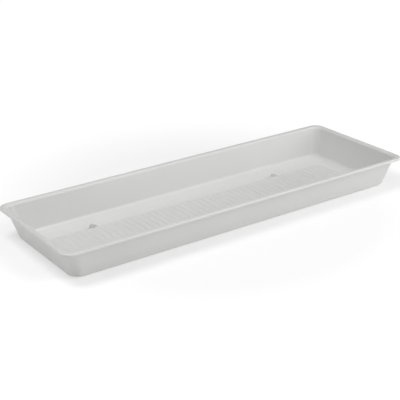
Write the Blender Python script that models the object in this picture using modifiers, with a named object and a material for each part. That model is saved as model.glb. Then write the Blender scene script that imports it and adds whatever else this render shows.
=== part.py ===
"""Paint roller tray: a moulded tray shell and the ribbed roll-off plate that drops into it.

Units are metres and +Z is up. The origin is the centre of the tray's footprint, on the
surface that it stands on. +X runs along the tray and +Y points to the smooth paint well.
"""

import math

import bmesh
import bpy
from mathutils import Matrix, Vector

# Tray, outside sizes
RIM_LENGTH = 0.600
RIM_WIDTH = 0.209
TRAY_HEIGHT = 0.047
WALL_THICKNESS = 0.0020
WALL_DRAFT = math.radians(15.4)
FLANGE_OVERHANG = 0.0062
LIP_DROP = 0.0038

# Tray, roundings of the inner and upper skin
FLANGE_EDGE_RADIUS = 0.0014
WALL_TOP_RADIUS = 0.0045
FLOOR_FILLET_RADIUS = 0.0040
RIM_CORNER_RADIUS = 0.0155
WALL_CORNER_RADIUS = 0.0145
CORNER_STEPS = 8
EDGE_STEPS = 4
FILLET_STEPS = 5

# Roll-off plate
FIT_GAP = 0.0003
PLATE_LENGTH = 0.524
PLATE_THICKNESS = 0.0020
PLATE_REAR_Y = 0.0395
PLATE_FRONT_CLEARANCE = 0.0010
PLATE_SHIFT_X = -0.0140
PLATE_CORNER_RADIUS = 0.013
PLATE_CORNER_STEPS = 6

# Ribs on the plate, parallel to the tray's short sides
RIB_COUNT = 50
RIB_PITCH = 0.0105
RIB_WIDTH = 0.0070
RIB_HEIGHT = 0.0010
RIB_END_MARGIN = 0.0008
RIB_SIDES = 12

# Lift tabs, upright fins along the plate's rear edge, steep at one end and sloping at the other
TAB_FOOT_LENGTH = 0.0195
TAB_TOP_LENGTH = 0.0040
TAB_TOP_SHIFT = -0.0042
TAB_HEIGHT = 0.0070
TAB_THICKNESS = 0.0016
TAB_CORNER_RADIUS = 0.0014
TAB_CORNER_STEPS = 6
TAB_ROOT_DEPTH = 0.0012
TAB_SETBACK = 0.0004
TAB_OFFSET_X = 0.167

# Heights and insets that follow from the sizes above
FLOOR_TOP = WALL_THICKNESS
PLATE_BOTTOM = FLOOR_TOP + FIT_GAP
PLATE_TOP = PLATE_BOTTOM + PLATE_THICKNESS
WALL_TOP_INSET = FLANGE_OVERHANG + WALL_THICKNESS / math.cos(WALL_DRAFT)


def wall_inset(height):
    """Distance from the rim's outer edge in to the wall's inner skin, at one height."""
    return WALL_TOP_INSET + (TRAY_HEIGHT - height) * math.tan(WALL_DRAFT)


FILLET_CENTRE_HEIGHT = FLOOR_TOP + FLOOR_FILLET_RADIUS
FLOOR_INSET = wall_inset(FILLET_CENTRE_HEIGHT) + FLOOR_FILLET_RADIUS / math.cos(WALL_DRAFT)
PLATE_FRONT_Y = -(RIM_WIDTH / 2 - FLOOR_INSET - PLATE_FRONT_CLEARANCE)


def clear_scene():
    for old in list(bpy.data.objects):
        bpy.data.objects.remove(old, do_unlink=True)


def new_collection(name):
    collection = bpy.data.collections.new(name)
    bpy.context.scene.collection.children.link(collection)
    return collection


def plastic(name, colour, roughness):
    material = bpy.data.materials.new(name)
    material.use_nodes = True
    shader = material.node_tree.nodes["Principled BSDF"]
    shader.inputs["Base Color"].default_value = (*colour, 1.0)
    shader.inputs["Roughness"].default_value = roughness
    shader.inputs["Metallic"].default_value = 0.0
    return material


def object_from_bmesh(name, shape, collection):
    mesh = bpy.data.meshes.new(name)
    shape.to_mesh(mesh)
    shape.free()
    new_object = bpy.data.objects.new(name, mesh)
    collection.objects.link(new_object)
    return new_object


def profile_arc(centre_inset, centre_height, radius, start, end, steps):
    """Points of an arc in the tray's cross-section, as (inset, height) pairs."""
    points = []
    for step in range(steps + 1):
        angle = start + (end - start) * step / steps
        points.append((centre_inset + radius * math.cos(angle), centre_height + radius * math.sin(angle)))
    return points


def tray_profile():
    """Upper skin of the tray in cross-section, from the lip's lower edge in to the floor."""
    flat_up = math.pi / 2
    rounding_inset = (
        WALL_TOP_INSET + WALL_TOP_RADIUS * math.tan(WALL_DRAFT) - WALL_TOP_RADIUS / math.cos(WALL_DRAFT)
    )
    lip = [(0.0, TRAY_HEIGHT - LIP_DROP)]
    flange_edge = profile_arc(
        FLANGE_EDGE_RADIUS, TRAY_HEIGHT - FLANGE_EDGE_RADIUS, FLANGE_EDGE_RADIUS, math.pi, flat_up, EDGE_STEPS
    )
    wall_top = profile_arc(
        rounding_inset, TRAY_HEIGHT - WALL_TOP_RADIUS, WALL_TOP_RADIUS, flat_up, WALL_DRAFT, EDGE_STEPS
    )
    floor_fillet = profile_arc(
        FLOOR_INSET, FILLET_CENTRE_HEIGHT, FLOOR_FILLET_RADIUS, math.pi + WALL_DRAFT, 1.5 * math.pi, FILLET_STEPS
    )
    return lip + flange_edge + wall_top + floor_fillet


def corner_radius(inset):
    """The corners of the walls are a little tighter than the rim's corners."""
    share = min(inset / WALL_TOP_INSET, 1.0)
    return RIM_CORNER_RADIUS + share * (WALL_CORNER_RADIUS - RIM_CORNER_RADIUS)


def rounded_rectangle(half_length, half_width, radius, height):
    """One anticlockwise ring of points, starting at the corner towards +X and +Y."""
    ring = []
    for quarter, (side_x, side_y) in enumerate(((1, 1), (-1, 1), (-1, -1), (1, -1))):
        for step in range(CORNER_STEPS + 1):
            angle = math.radians(90.0) * (quarter + step / CORNER_STEPS)
            ring.append(
                Vector(
                    (
                        side_x * (half_length - radius) + radius * math.cos(angle),
                        side_y * (half_width - radius) + radius * math.sin(angle),
                        height,
                    )
                )
            )
    return ring


def build_tray(collection):
    """A loft through the rings of the upper skin, given its wall thickness by Solidify."""
    shape = bmesh.new()
    rings = []
    for inset, height in tray_profile():
        ring = rounded_rectangle(RIM_LENGTH / 2 - inset, RIM_WIDTH / 2 - inset, corner_radius(inset), height)
        rings.append([shape.verts.new(point) for point in ring])
    for outer, inner in zip(rings, rings[1:]):
        for index in range(len(outer)):
            following = (index + 1) % len(outer)
            shape.faces.new((outer[index], outer[following], inner[following], inner[index]))
    shape.faces.new(rings[-1])

    tray = object_from_bmesh("tray", shape, collection)
    thickness = tray.modifiers.new("wall_thickness", "SOLIDIFY")
    thickness.thickness = WALL_THICKNESS
    thickness.offset = -1.0
    thickness.use_even_offset = True
    thickness.use_quality_normals = True
    tray.data.shade_smooth()
    tray.data.set_sharp_from_angle(angle=math.radians(35.0))
    tray.data.materials.append(plastic("tray_plastic", (0.78, 0.78, 0.77), 0.42))
    return tray


def plate_block(inset, bottom, top):
    """A box over the plate's outline, drawn in by an inset, with its four upright edges rounded."""
    shape = bmesh.new()
    bmesh.ops.create_cube(shape, size=1.0)
    size = Vector((PLATE_LENGTH - 2 * inset, PLATE_REAR_Y - PLATE_FRONT_Y - 2 * inset, top - bottom))
    centre = Vector((0.0, (PLATE_REAR_Y + PLATE_FRONT_Y) / 2, (bottom + top) / 2))
    bmesh.ops.scale(shape, vec=size, verts=shape.verts)
    bmesh.ops.translate(shape, vec=centre, verts=shape.verts)
    upright = [edge for edge in shape.edges if abs(edge.verts[0].co.z - edge.verts[1].co.z) > (top - bottom) / 2]
    bmesh.ops.bevel(
        shape,
        geom=upright,
        offset=PLATE_CORNER_RADIUS - inset,
        segments=PLATE_CORNER_STEPS,
        profile=0.5,
        affect="EDGES",
    )
    return shape


def build_rib_row(collection):
    """The row of low rounded ribs, half sunk in the plate's top face and trimmed to its outline."""
    rib_length = PLATE_REAR_Y - PLATE_FRONT_Y
    shape = bmesh.new()
    bmesh.ops.create_cone(
        shape,
        cap_ends=True,
        segments=RIB_SIDES,
        radius1=RIB_WIDTH / 2,
        radius2=RIB_WIDTH / 2,
        depth=rib_length,
    )
    bmesh.ops.rotate(shape, matrix=Matrix.Rotation(math.radians(90.0), 3, "X"), verts=shape.verts)
    bmesh.ops.scale(shape, vec=(1.0, 1.0, 2 * RIB_HEIGHT / RIB_WIDTH), verts=shape.verts)
    first_rib = Vector((-(RIB_COUNT - 1) * RIB_PITCH / 2, (PLATE_REAR_Y + PLATE_FRONT_Y) / 2, PLATE_TOP))
    bmesh.ops.translate(shape, vec=first_rib, verts=shape.verts)
    ribs = object_from_bmesh("rib_row", shape, collection)
    row = ribs.modifiers.new("row", "ARRAY")
    row.count = RIB_COUNT
    row.use_relative_offset = False
    row.use_constant_offset = True
    row.constant_offset_displace = (RIB_PITCH, 0.0, 0.0)
    outline = plate_block(RIB_END_MARGIN, PLATE_TOP - 2 * RIB_HEIGHT, PLATE_TOP + 2 * RIB_HEIGHT)
    combine(ribs, object_from_bmesh("rib_outline", outline, collection), "INTERSECT")
    return ribs


def build_tab(name, offset_x, collection):
    """A fin-shaped finger tab with a rounded top. Its root is sunk in the plate's top face."""
    shape = bmesh.new()
    bmesh.ops.create_cube(shape, size=1.0)
    full_height = TAB_HEIGHT + TAB_ROOT_DEPTH
    top_verts = [vert for vert in shape.verts if vert.co.z > 0.0]
    bmesh.ops.scale(shape, vec=(TAB_TOP_LENGTH / TAB_FOOT_LENGTH, 1.0, 1.0), verts=top_verts)
    bmesh.ops.scale(shape, vec=(TAB_FOOT_LENGTH, TAB_THICKNESS, full_height), verts=shape.verts)
    bmesh.ops.translate(shape, vec=(TAB_TOP_SHIFT, 0.0, 0.0), verts=top_verts)
    bmesh.ops.translate(shape, vec=(0.0, 0.0, full_height / 2 - TAB_ROOT_DEPTH), verts=shape.verts)
    upper_corners = [edge for edge in shape.edges if is_upper_corner(edge)]
    bmesh.ops.bevel(
        shape,
        geom=upper_corners,
        offset=TAB_CORNER_RADIUS,
        segments=TAB_CORNER_STEPS,
        profile=0.5,
        affect="EDGES",
    )
    centre_y = PLATE_REAR_Y - TAB_SETBACK - TAB_THICKNESS / 2
    bmesh.ops.translate(shape, vec=(offset_x, centre_y, PLATE_TOP), verts=shape.verts)
    return object_from_bmesh(name, shape, collection)


def is_upper_corner(edge):
    """True for the two edges that run through the tab's thickness at its top."""
    first, second = edge.verts
    through_thickness = abs(first.co.y - second.co.y) > TAB_THICKNESS / 2
    return through_thickness and first.co.z > 0.0


def combine(body, other, operation):
    """Boolean of a body with a construction shape, which then moves with the body."""
    boolean = body.modifiers.new("with_" + other.name, "BOOLEAN")
    boolean.operation = operation
    boolean.solver = "EXACT"
    boolean.object = other
    other.parent = body
    other.hide_render = True
    other.display_type = "WIRE"


def build_plate(collection, construction):
    """The ribbed panel with its lift tabs, off centre in the tray as it lies against the left wall."""
    plate = object_from_bmesh("roll_off_plate", plate_block(0.0, PLATE_BOTTOM, PLATE_TOP), collection)
    combine(plate, build_rib_row(construction), "UNION")
    for side, name in ((-1, "tab_left"), (1, "tab_right")):
        combine(plate, build_tab(name, side * TAB_OFFSET_X, construction), "UNION")
    plate.location.x = PLATE_SHIFT_X
    plate.data.materials.append(plastic("plate_plastic", (0.76, 0.76, 0.75), 0.48))
    return plate


def main():
    clear_scene()
    parts = new_collection("paint_roller_tray")
    construction = new_collection("construction_shapes")
    build_tray(parts)
    build_plate(parts, construction)


main()
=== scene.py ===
"""Looks of the paint roller tray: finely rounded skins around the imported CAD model, plastic
materials, a pale floor and soft light. Metres, +Z up, in the CAD model's own frame."""

import math

import bmesh
import bpy
from mathutils import Matrix, Vector


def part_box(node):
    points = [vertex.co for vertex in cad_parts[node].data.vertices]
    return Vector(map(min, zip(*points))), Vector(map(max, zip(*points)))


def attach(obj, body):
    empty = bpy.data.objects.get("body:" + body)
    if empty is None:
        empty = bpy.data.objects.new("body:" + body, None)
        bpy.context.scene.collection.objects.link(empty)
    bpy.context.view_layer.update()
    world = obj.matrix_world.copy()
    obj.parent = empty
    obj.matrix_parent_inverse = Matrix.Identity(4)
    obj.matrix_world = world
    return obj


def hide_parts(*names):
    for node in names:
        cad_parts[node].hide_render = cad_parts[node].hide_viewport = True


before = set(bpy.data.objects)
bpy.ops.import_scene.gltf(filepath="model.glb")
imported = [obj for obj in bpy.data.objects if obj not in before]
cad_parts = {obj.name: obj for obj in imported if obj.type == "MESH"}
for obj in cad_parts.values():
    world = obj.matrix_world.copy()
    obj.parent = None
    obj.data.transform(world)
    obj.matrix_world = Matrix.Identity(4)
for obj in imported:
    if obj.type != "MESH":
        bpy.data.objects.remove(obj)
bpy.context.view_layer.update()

# Tray. Its outside sizes come from the frame, and the rest repeats the design's own values.
TRAY_LOW, TRAY_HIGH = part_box("tray")
HALF_LENGTH = (TRAY_HIGH.x - TRAY_LOW.x) / 2
HALF_WIDTH = (TRAY_HIGH.y - TRAY_LOW.y) / 2
HEIGHT = TRAY_HIGH.z - TRAY_LOW.z
THICKNESS = 0.0020
DRAFT = math.radians(15.4)
FLANGE_OVERHANG = 0.0062
LIP_DROP = 0.0038
LIP_END_RADIUS = 0.0006
FLANGE_EDGE_RADIUS = 0.0014
WALL_TOP_RADIUS = 0.0045
FLOOR_FILLET_RADIUS = 0.0040
RIM_CORNER_RADIUS = 0.0155
WALL_CORNER_RADIUS = 0.0145
WALL_TOP_INSET = FLANGE_OVERHANG + THICKNESS / math.cos(DRAFT)

# Roll-off plate. Its length and front edge come from the frame.
PLATE_LOW, PLATE_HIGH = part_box("roll_off_plate")
PLATE_CENTRE_X = (PLATE_LOW.x + PLATE_HIGH.x) / 2
PLATE_THICKNESS = 0.0020
PLATE_REAR = 0.0395
PLATE_CORNER_RADIUS = 0.013
PLATE_EDGE_RADIUS = 0.0006
RIB_COUNT = 50
RIB_PITCH = 0.0105
RIB_WIDTH = 0.0084
RIB_HEIGHT = 0.0010
RIB_END_MARGIN = 0.0008
RIB_END_RAMP = 0.0010
TAB_FOOT_LENGTH = 0.0195
TAB_TOP_LENGTH = 0.0040
TAB_TOP_SHIFT = -0.0042
TAB_HEIGHT = 0.0070
TAB_THICKNESS = 0.0016
TAB_CORNER_RADIUS = 0.0014
TAB_EDGE_RADIUS = 0.0005
TAB_ROOT_DEPTH = 0.0012
TAB_SETBACK = 0.0004
TAB_OFFSET = 0.167

# Smoothness of the skins
CORNER_STEPS = 20
ARC_STEPS = 10
LIP_STEPS = 6
RIB_STEPS = 7
RIB_END_STEPS = 5
PLATE_EDGE_STEPS = 7
TAB_CORNER_SEGMENTS = 10
TAB_EDGE_SEGMENTS = 3
CLOSEST_SECTIONS = 0.00004
END_ROUND_LIMIT = 0.98
SHARP_ANGLE = math.radians(50.0)
TAB_OUTLINE_ANGLE = math.radians(60.0)

# Plastic: grain depths and the subsurface depth in metres, noise scales in features per metre
TRAY_COLOUR = (0.595, 0.595, 0.588)
TRAY_ROUGHNESS = 0.38
TRAY_GRAIN_DEPTH = 0.00005
PLATE_COLOUR = (0.572, 0.572, 0.565)
PLATE_ROUGHNESS = 0.44
PLATE_GRAIN_DEPTH = 0.00006
DARKER = 0.93
LIGHTER = 1.06
CLOUD_SCALE = 9.0
GLOSS_SCALE = 40.0
SPECKLE_SCALE = 900.0
GRAIN_SCALE = 1800.0
GRAIN_STRENGTH = 0.35
REFRACTIVE_INDEX = 1.49
SUBSURFACE_WEIGHT = 0.12
SUBSURFACE_DEPTH = 0.002
SUBSURFACE_TINT = (1.0, 0.95, 0.9)

# Viewpoint, at the front left and a little above
VIEW_AZIMUTH = math.radians(34.48)
VIEW_ELEVATION = math.radians(22.64)
VIEW_ROLL = math.radians(-1.03)
VIEW_DISTANCE = 1.5329
VIEW_AIM = Vector((-0.0105, 0.0136, 0.0127))
LENS = 91.06
SENSOR = 36.0

# Studio light: the sky's glows by direction and strength, the softboxes by name, place, size and power
SKY_BASE = 0.03
SKY_GLOW_FOCUS = 2.0
SKY_GLOWS = (
    (Vector((-0.60, 0.10, 0.80)), 0.50),
    (Vector((0.0, 0.0, 1.0)), 0.10),
)
SOFTBOXES = (
    ("key_softbox", (0.85, -0.65, 1.25), 0.4, 3.0),
    ("front_softbox", (0.60, -1.30, 1.20), 0.8, 11.5),
    ("low_softbox", (1.00, -1.25, 0.50), 0.9, 8.7),
    ("left_softbox", (-0.60, 0.10, 1.30), 0.6, 10.8),
)

# Floor that glows, and glows more away from the tray
FLOOR_SIZE = 6.0
FLOOR_DROP = 0.0002
FLOOR_ALBEDO = 0.40
FLOOR_ROUGHNESS = 0.9
FLOOR_GLOW_NEAR = 0.50
FLOOR_GLOW_FAR = 0.85
FLOOR_GLOW_REACH = (0.25, 0.70)

WHITE = (1.0, 1.0, 1.0, 1.0)


def add_object(name, data):
    """A new object in the scene that holds this mesh, light or camera."""
    new_object = bpy.data.objects.new(name, data)
    bpy.context.scene.collection.objects.link(new_object)
    return new_object


def skin_object(name, rings):
    """Closed surface through rings of points that all have the same count, capped at both ends."""
    count = len(rings[0])
    vertices = [point for ring in rings for point in ring]
    faces = []
    for level in range(len(rings) - 1):
        first = level * count
        second = first + count
        for index in range(count):
            following = (index + 1) % count
            faces.append((first + index, first + following, second + following, second + index))
    faces.append(tuple(reversed(range(count))))
    faces.append(tuple(range((len(rings) - 1) * count, len(rings) * count)))
    mesh = bpy.data.meshes.new(name)
    mesh.from_pydata(vertices, [], faces)
    mesh.validate()
    return add_object(name, mesh)


def shade(piece):
    piece.data.shade_smooth()
    piece.data.set_sharp_from_angle(angle=SHARP_ANGLE)


# ---------------------------------------------------------------- tray


def arc_stations(centre_inset, centre_height, radius, start, end):
    """Stations of the upper skin along an arc: inset, height and the arc's angle there."""
    stations = []
    for step in range(ARC_STEPS + 1):
        angle = start + (end - start) * step / ARC_STEPS
        inset = centre_inset + radius * math.cos(angle)
        height = centre_height + radius * math.sin(angle)
        stations.append((inset, height, angle))
    return stations


def upper_skin():
    """Cross-section of the upper skin, from the lip's lower end in to the floor: inset from the tray's
    outline, height, and the direction that the skin faces."""
    up = math.pi / 2
    rounding_inset = WALL_TOP_INSET + WALL_TOP_RADIUS * (math.tan(DRAFT) - 1 / math.cos(DRAFT))
    fillet_height = THICKNESS + FLOOR_FILLET_RADIUS
    fillet_inset = (
        WALL_TOP_INSET + (HEIGHT - fillet_height) * math.tan(DRAFT) + FLOOR_FILLET_RADIUS / math.cos(DRAFT)
    )
    fillet = arc_stations(fillet_inset, fillet_height, FLOOR_FILLET_RADIUS, math.pi + DRAFT, 1.5 * math.pi)
    stations = [(0.0, HEIGHT - LIP_DROP + LIP_END_RADIUS, math.pi)]
    stations += arc_stations(FLANGE_EDGE_RADIUS, HEIGHT - FLANGE_EDGE_RADIUS, FLANGE_EDGE_RADIUS, math.pi, up)
    stations += arc_stations(rounding_inset, HEIGHT - WALL_TOP_RADIUS, WALL_TOP_RADIUS, up, DRAFT)
    stations += [(inset, height, angle - math.pi) for inset, height, angle in fillet]
    return stations


def station_corner_radius(inset):
    """Corner radius of the upper skin, which goes from the rim's to the wall's."""
    share = min(inset / WALL_TOP_INSET, 1.0)
    return RIM_CORNER_RADIUS + share * (WALL_CORNER_RADIUS - RIM_CORNER_RADIUS)


def rounded_rectangle(inset, radius, height):
    """Ring of points at this height, this far in from the tray's outline."""
    half_x = HALF_LENGTH - inset
    half_y = HALF_WIDTH - inset
    ring = []
    for quarter, (side_x, side_y) in enumerate(((1, 1), (-1, 1), (-1, -1), (1, -1))):
        for step in range(CORNER_STEPS + 1):
            angle = math.radians(90.0) * (quarter + step / CORNER_STEPS)
            x = side_x * (half_x - radius) + radius * math.cos(angle)
            y = side_y * (half_y - radius) + radius * math.sin(angle)
            ring.append((x, y, height))
    return ring


def lip_end():
    """Rings round the lip's lower end, from its inner to its outer side."""
    rings = []
    centre_height = HEIGHT - LIP_DROP + LIP_END_RADIUS
    for centre, start in ((THICKNESS - LIP_END_RADIUS, 0.0), (LIP_END_RADIUS, -math.pi / 2)):
        for step in range(1, LIP_STEPS):
            angle = start - math.pi / 2 * step / LIP_STEPS
            inset = centre + LIP_END_RADIUS * math.cos(angle)
            height = centre_height + LIP_END_RADIUS * math.sin(angle)
            rings.append(rounded_rectangle(inset, RIM_CORNER_RADIUS - inset, height))
    return rings


def make_tray():
    """The whole moulding as one closed skin: base, outer wall, rim, inner wall and floor, in that order."""
    lower_rings = []
    upper_rings = []
    for inset, height, angle in upper_skin():
        radius = station_corner_radius(inset)
        under_inset = inset - THICKNESS * math.cos(angle)
        under_height = height - THICKNESS * math.sin(angle)
        upper_rings.append(rounded_rectangle(inset, radius, height))
        lower_rings.append(rounded_rectangle(under_inset, radius + inset - under_inset, under_height))
    tray = skin_object("tray_moulding", list(reversed(lower_rings)) + lip_end() + upper_rings)
    shade(tray)
    return tray


# ---------------------------------------------------------------- roll-off plate


def bump(distance, half_width):
    """A smooth rise from 0 at the half width to 1 in the middle."""
    if abs(distance) >= half_width:
        return 0.0
    return 0.5 + 0.5 * math.cos(math.pi * distance / half_width)


def plate_stations():
    """Places along the plate where a cross-section is made: finer over the ribs and the rounded ends."""
    places = []
    for step in range(ARC_STEPS + 1):
        turn = math.pi / 2 * step / ARC_STEPS
        for reach in (PLATE_EDGE_RADIUS, PLATE_CORNER_RADIUS):
            inward = reach * (1 - math.cos(turn))
            places += [PLATE_LOW.x + inward, PLATE_HIGH.x - inward]
    for rib in range(RIB_COUNT):
        rib_x = PLATE_CENTRE_X + (rib - (RIB_COUNT - 1) / 2) * RIB_PITCH
        places += [rib_x + RIB_WIDTH / 2 * step / RIB_STEPS for step in range(-RIB_STEPS, RIB_STEPS + 1)]
    places.sort()
    spaced = [places[0]]
    for place in places[1:]:
        if place - spaced[-1] > CLOSEST_SECTIONS:
            spaced.append(place)
    spaced[-1] = PLATE_HIGH.x
    return spaced


def end_inset(place, radius):
    """How far an end rounded with this radius has drawn in at this place along the plate."""
    depth = radius - min(place - PLATE_LOW.x, PLATE_HIGH.x - place, radius)
    return radius - math.sqrt(max(radius * radius - depth * depth, 0.0))


def rib_rise(place):
    """Height of the rib crests at this place along the plate, away from the ribs' ends."""
    offset = (place - PLATE_CENTRE_X) / RIB_PITCH + (RIB_COUNT - 1) / 2
    nearest = min(max(round(offset), 0), RIB_COUNT - 1)
    return RIB_HEIGHT * bump((offset - nearest) * RIB_PITCH, RIB_WIDTH / 2)


def edge_turn(place, centre_y, middle, half, start):
    """Part of a cross-section that turns round a long edge, from the angle start through half a turn."""
    points = []
    for step in range(1, PLATE_EDGE_STEPS):
        angle = start - math.pi * step / PLATE_EDGE_STEPS
        y = centre_y + PLATE_EDGE_RADIUS * math.cos(angle)
        points.append((place, y, middle + half * math.sin(angle)))
    return points


def plate_section(place):
    """One cross-section ring: along the top from front to rear, round the rear edge and back underneath."""
    corner = end_inset(place, PLATE_CORNER_RADIUS)
    round_over = min(end_inset(place, PLATE_EDGE_RADIUS), PLATE_EDGE_RADIUS * END_ROUND_LIMIT)
    front = PLATE_LOW.y + corner
    rear = PLATE_REAR - corner
    bottom = PLATE_LOW.z
    top = bottom + PLATE_THICKNESS
    edge = PLATE_EDGE_RADIUS
    half = (PLATE_THICKNESS - 2 * round_over) / 2
    middle = (top + bottom) / 2
    length = rear - front - 2 * edge
    ramp_start = RIB_END_MARGIN - edge
    shares = [0.0, ramp_start / length]
    shares += [
        (ramp_start + RIB_END_RAMP * step / RIB_END_STEPS) / length for step in range(1, RIB_END_STEPS + 1)
    ]
    shares += [1 / 3]
    across = [front + edge + length * share for share in shares + [1 - share for share in reversed(shares)]]
    rib = rib_rise(place)
    ring = []
    for y in across:
        ramp = min(max((min(y - front, rear - y) - RIB_END_MARGIN) / RIB_END_RAMP, 0.0), 1.0)
        ring.append((place, y, top - round_over + rib * math.sin(ramp * math.pi / 2)))
    ring += edge_turn(place, rear - edge, middle, half, math.pi / 2)
    ring += [(place, y, bottom + round_over) for y in reversed(across)]
    ring += edge_turn(place, front + edge, middle, half, -math.pi / 2)
    return ring


def add_tab(target, tab_x):
    """A fin-shaped finger tab with a rounded top and softened edges."""
    height = TAB_HEIGHT + TAB_ROOT_DEPTH
    shape = bmesh.new()
    bmesh.ops.create_cube(shape, size=1.0)
    top = [vert for vert in shape.verts if vert.co.z > 0]
    bmesh.ops.scale(shape, vec=(TAB_TOP_LENGTH / TAB_FOOT_LENGTH, 1.0, 1.0), verts=top)
    bmesh.ops.scale(shape, vec=(TAB_FOOT_LENGTH, TAB_THICKNESS, height), verts=shape.verts)
    bmesh.ops.translate(shape, vec=(TAB_TOP_SHIFT, 0.0, 0.0), verts=top)
    bmesh.ops.translate(shape, vec=(0.0, 0.0, height / 2 - TAB_ROOT_DEPTH), verts=shape.verts)
    corners = [e for e in shape.edges if e.verts[0].co.y * e.verts[1].co.y < 0 and e.verts[0].co.z > 0]
    bmesh.ops.bevel(
        shape,
        geom=corners,
        offset=TAB_CORNER_RADIUS,
        segments=TAB_CORNER_SEGMENTS,
        profile=0.5,
        affect="EDGES",
    )
    outline = [e for e in shape.edges if e.calc_face_angle(0.0) > TAB_OUTLINE_ANGLE]
    bmesh.ops.bevel(
        shape,
        geom=outline,
        offset=TAB_EDGE_RADIUS,
        segments=TAB_EDGE_SEGMENTS,
        profile=0.5,
        affect="EDGES",
    )
    tab_y = PLATE_REAR - TAB_SETBACK - TAB_THICKNESS / 2
    bmesh.ops.translate(shape, vec=(tab_x, tab_y, PLATE_LOW.z + PLATE_THICKNESS), verts=shape.verts)
    mesh = bpy.data.meshes.new("tab")
    shape.to_mesh(mesh)
    shape.free()
    target.from_mesh(mesh)
    bpy.data.meshes.remove(mesh)


def make_plate():
    plate = skin_object("ribbed_plate", [plate_section(place) for place in plate_stations()])
    shape = bmesh.new()
    shape.from_mesh(plate.data)
    for side in (-1, 1):
        add_tab(shape, PLATE_CENTRE_X + side * TAB_OFFSET)
    bmesh.ops.recalc_face_normals(shape, faces=shape.faces)
    shape.to_mesh(plate.data)
    shape.free()
    shade(plate)
    return plate


# ---------------------------------------------------------------- materials


def plastic(name, colour, roughness, grain_depth):
    """Satin moulded plastic: fine moulded grain, faint cloudiness in colour and gloss, and a painted
    highlight that tints convex edges lighter.
    """
    material = bpy.data.materials.new(name)
    material.use_nodes = True
    nodes = material.node_tree.nodes
    links = material.node_tree.links
    shader = nodes["Principled BSDF"]
    place = nodes.new("ShaderNodeTexCoord")

    def noise(scale, detail):
        texture = nodes.new("ShaderNodeTexNoise")
        texture.inputs["Scale"].default_value = scale
        texture.inputs["Detail"].default_value = detail
        texture.inputs["Roughness"].default_value = 0.5
        links.new(place.outputs["Object"], texture.inputs["Vector"])
        return texture.outputs["Fac"]

    def remap(value, low, high, from_low=0.3, from_high=0.7):
        node = nodes.new("ShaderNodeMapRange")
        node.inputs["From Min"].default_value = from_low
        node.inputs["From Max"].default_value = from_high
        node.inputs["To Min"].default_value = low
        node.inputs["To Max"].default_value = high
        links.new(value, node.inputs["Value"])
        return node.outputs["Result"]

    def tint(base, factor, shade_colour):
        node = nodes.new("ShaderNodeMix")
        node.data_type = "RGBA"
        links.new(factor, node.inputs["Factor"])
        if isinstance(base, tuple):
            node.inputs["A"].default_value = (*base, 1.0)
        else:
            links.new(base, node.inputs["A"])
        node.inputs["B"].default_value = (*shade_colour, 1.0)
        return node.outputs["Result"]

    darker = tuple(channel * DARKER for channel in colour)
    lighter = tuple(min(channel * LIGHTER, 1.0) for channel in colour)
    clouds = remap(noise(CLOUD_SCALE, 3.0), 0.0, 0.45)
    base = tint(colour, clouds, darker)
    speckles = remap(noise(SPECKLE_SCALE, 2.0), 0.0, 0.30, from_low=0.45, from_high=0.75)
    base = tint(base, speckles, lighter)
    # Painted highlight: convex edges, found by pointiness, are tinted lighter as if they catch the light.
    geometry = nodes.new("ShaderNodeNewGeometry")
    painted_edge_highlight = remap(geometry.outputs["Pointiness"], 0.0, 0.8, from_low=0.52, from_high=0.60)
    base = tint(base, painted_edge_highlight, lighter)
    links.new(base, shader.inputs["Base Color"])
    gloss = remap(noise(GLOSS_SCALE, 4.0), roughness - 0.05, roughness + 0.06)
    links.new(gloss, shader.inputs["Roughness"])
    shader.inputs["IOR"].default_value = REFRACTIVE_INDEX
    shader.inputs["Subsurface Weight"].default_value = SUBSURFACE_WEIGHT
    shader.inputs["Subsurface Radius"].default_value = SUBSURFACE_TINT
    shader.inputs["Subsurface Scale"].default_value = SUBSURFACE_DEPTH

    grain = nodes.new("ShaderNodeBump")
    grain.inputs["Strength"].default_value = GRAIN_STRENGTH
    grain.inputs["Distance"].default_value = grain_depth
    links.new(noise(GRAIN_SCALE, 2.0), grain.inputs["Height"])
    links.new(grain.outputs["Normal"], shader.inputs["Normal"])
    return material


def give(piece, material, body, node):
    """The piece gets its material, replaces its CAD node and rides on its body."""
    piece.data.materials.clear()
    piece.data.materials.append(material)
    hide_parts(node)
    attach(piece, body)


# ---------------------------------------------------------------- stage, light and camera


def floor_material():
    material = bpy.data.materials.new("pale_floor")
    material.use_nodes = True
    nodes = material.node_tree.nodes
    links = material.node_tree.links
    shader = nodes["Principled BSDF"]
    shader.inputs["Base Color"].default_value = (FLOOR_ALBEDO, FLOOR_ALBEDO, FLOOR_ALBEDO, 1.0)
    shader.inputs["Emission Color"].default_value = WHITE
    place = nodes.new("ShaderNodeTexCoord")
    distance = nodes.new("ShaderNodeVectorMath")
    distance.operation = "LENGTH"
    links.new(place.outputs["Object"], distance.inputs[0])
    glow = nodes.new("ShaderNodeMapRange")
    glow.inputs["From Min"].default_value = FLOOR_GLOW_REACH[0]
    glow.inputs["From Max"].default_value = FLOOR_GLOW_REACH[1]
    glow.inputs["To Min"].default_value = FLOOR_GLOW_NEAR
    glow.inputs["To Max"].default_value = FLOOR_GLOW_FAR
    links.new(distance.outputs["Value"], glow.inputs["Value"])
    links.new(glow.outputs["Result"], shader.inputs["Emission Strength"])
    shader.inputs["Roughness"].default_value = FLOOR_ROUGHNESS
    shader.inputs["Specular IOR Level"].default_value = 0.0
    return material


def make_floor():
    mesh = bpy.data.meshes.new("studio_floor")
    shape = bmesh.new()
    bmesh.ops.create_grid(shape, x_segments=1, y_segments=1, size=FLOOR_SIZE)
    shape.to_mesh(mesh)
    shape.free()
    floor = add_object("studio_floor", mesh)
    floor.location.z = -FLOOR_DROP
    floor.data.materials.append(floor_material())


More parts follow.
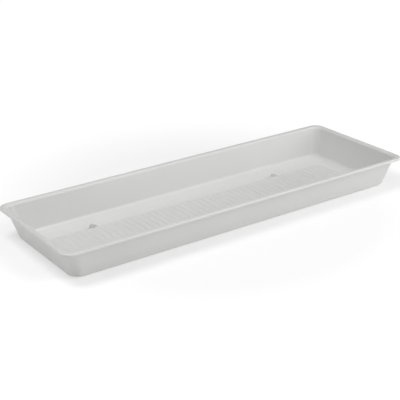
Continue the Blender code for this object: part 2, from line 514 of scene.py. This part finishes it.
def softbox(name, place, size, power):
    """A square light that faces the tray."""
    light = bpy.data.lights.new(name, "AREA")
    light.shape = "SQUARE"
    light.size = size
    light.energy = power
    holder = add_object(name, light)
    holder.location = place
    holder.rotation_mode = "QUATERNION"
    holder.rotation_quaternion = (-place).to_track_quat("-Z", "Y")


def make_sky():
    """A soft white sky that glows overhead and on the upper left."""
    world = bpy.data.worlds.new("studio")
    world.use_nodes = True
    nodes = world.node_tree.nodes
    links = world.node_tree.links
    direction = nodes.new("ShaderNodeTexCoord")

    def compute(operation, *values):
        node = nodes.new("ShaderNodeMath")
        node.operation = operation
        for socket, value in zip(node.inputs, values):
            if isinstance(value, float):
                socket.default_value = value
            else:
                links.new(value, socket)
        return node.outputs["Value"]

    brightness = SKY_BASE
    for centre, strength in SKY_GLOWS:
        towards = nodes.new("ShaderNodeVectorMath")
        towards.operation = "DOT_PRODUCT"
        towards.inputs[1].default_value = centre.normalized()
        links.new(direction.outputs["Generated"], towards.inputs[0])
        facing = compute("MAXIMUM", towards.outputs["Value"], 0.0)
        glow = compute("POWER", facing, SKY_GLOW_FOCUS)
        brightness = compute("MULTIPLY_ADD", glow, strength, brightness)
    backdrop = nodes["Background"]
    backdrop.inputs["Color"].default_value = WHITE
    links.new(brightness, backdrop.inputs["Strength"])
    bpy.context.scene.world = world


def make_light():
    """The sky, and softboxes mostly on the front right."""
    make_sky()
    bpy.context.scene.view_settings.view_transform = "Standard"
    for name, place, size, power in SOFTBOXES:
        softbox(name, Vector(place), size, power)


def make_camera():
    back_x = -math.sin(VIEW_AZIMUTH) * math.cos(VIEW_ELEVATION)
    back_y = -math.cos(VIEW_AZIMUTH) * math.cos(VIEW_ELEVATION)
    back = Vector((back_x, back_y, math.sin(VIEW_ELEVATION)))
    data = bpy.data.cameras.new("view")
    data.lens = LENS
    data.sensor_width = SENSOR
    camera = add_object("view", data)
    level = (-back).to_track_quat("-Z", "Y").to_matrix()
    turned = level @ Matrix.Rotation(VIEW_ROLL, 3, "Z")
    camera.matrix_world = Matrix.Translation(VIEW_AIM + back * VIEW_DISTANCE) @ turned.to_4x4()
    bpy.context.scene.camera = camera


def main():
    tray_plastic = plastic("tray_satin_plastic", TRAY_COLOUR, TRAY_ROUGHNESS, TRAY_GRAIN_DEPTH)
    plate_plastic = plastic("plate_satin_plastic", PLATE_COLOUR, PLATE_ROUGHNESS, PLATE_GRAIN_DEPTH)
    give(make_tray(), tray_plastic, "tray_body", "tray")
    give(make_plate(), plate_plastic, "plate_body", "roll_off_plate")
    make_floor()
    make_light()
    make_camera()


main()
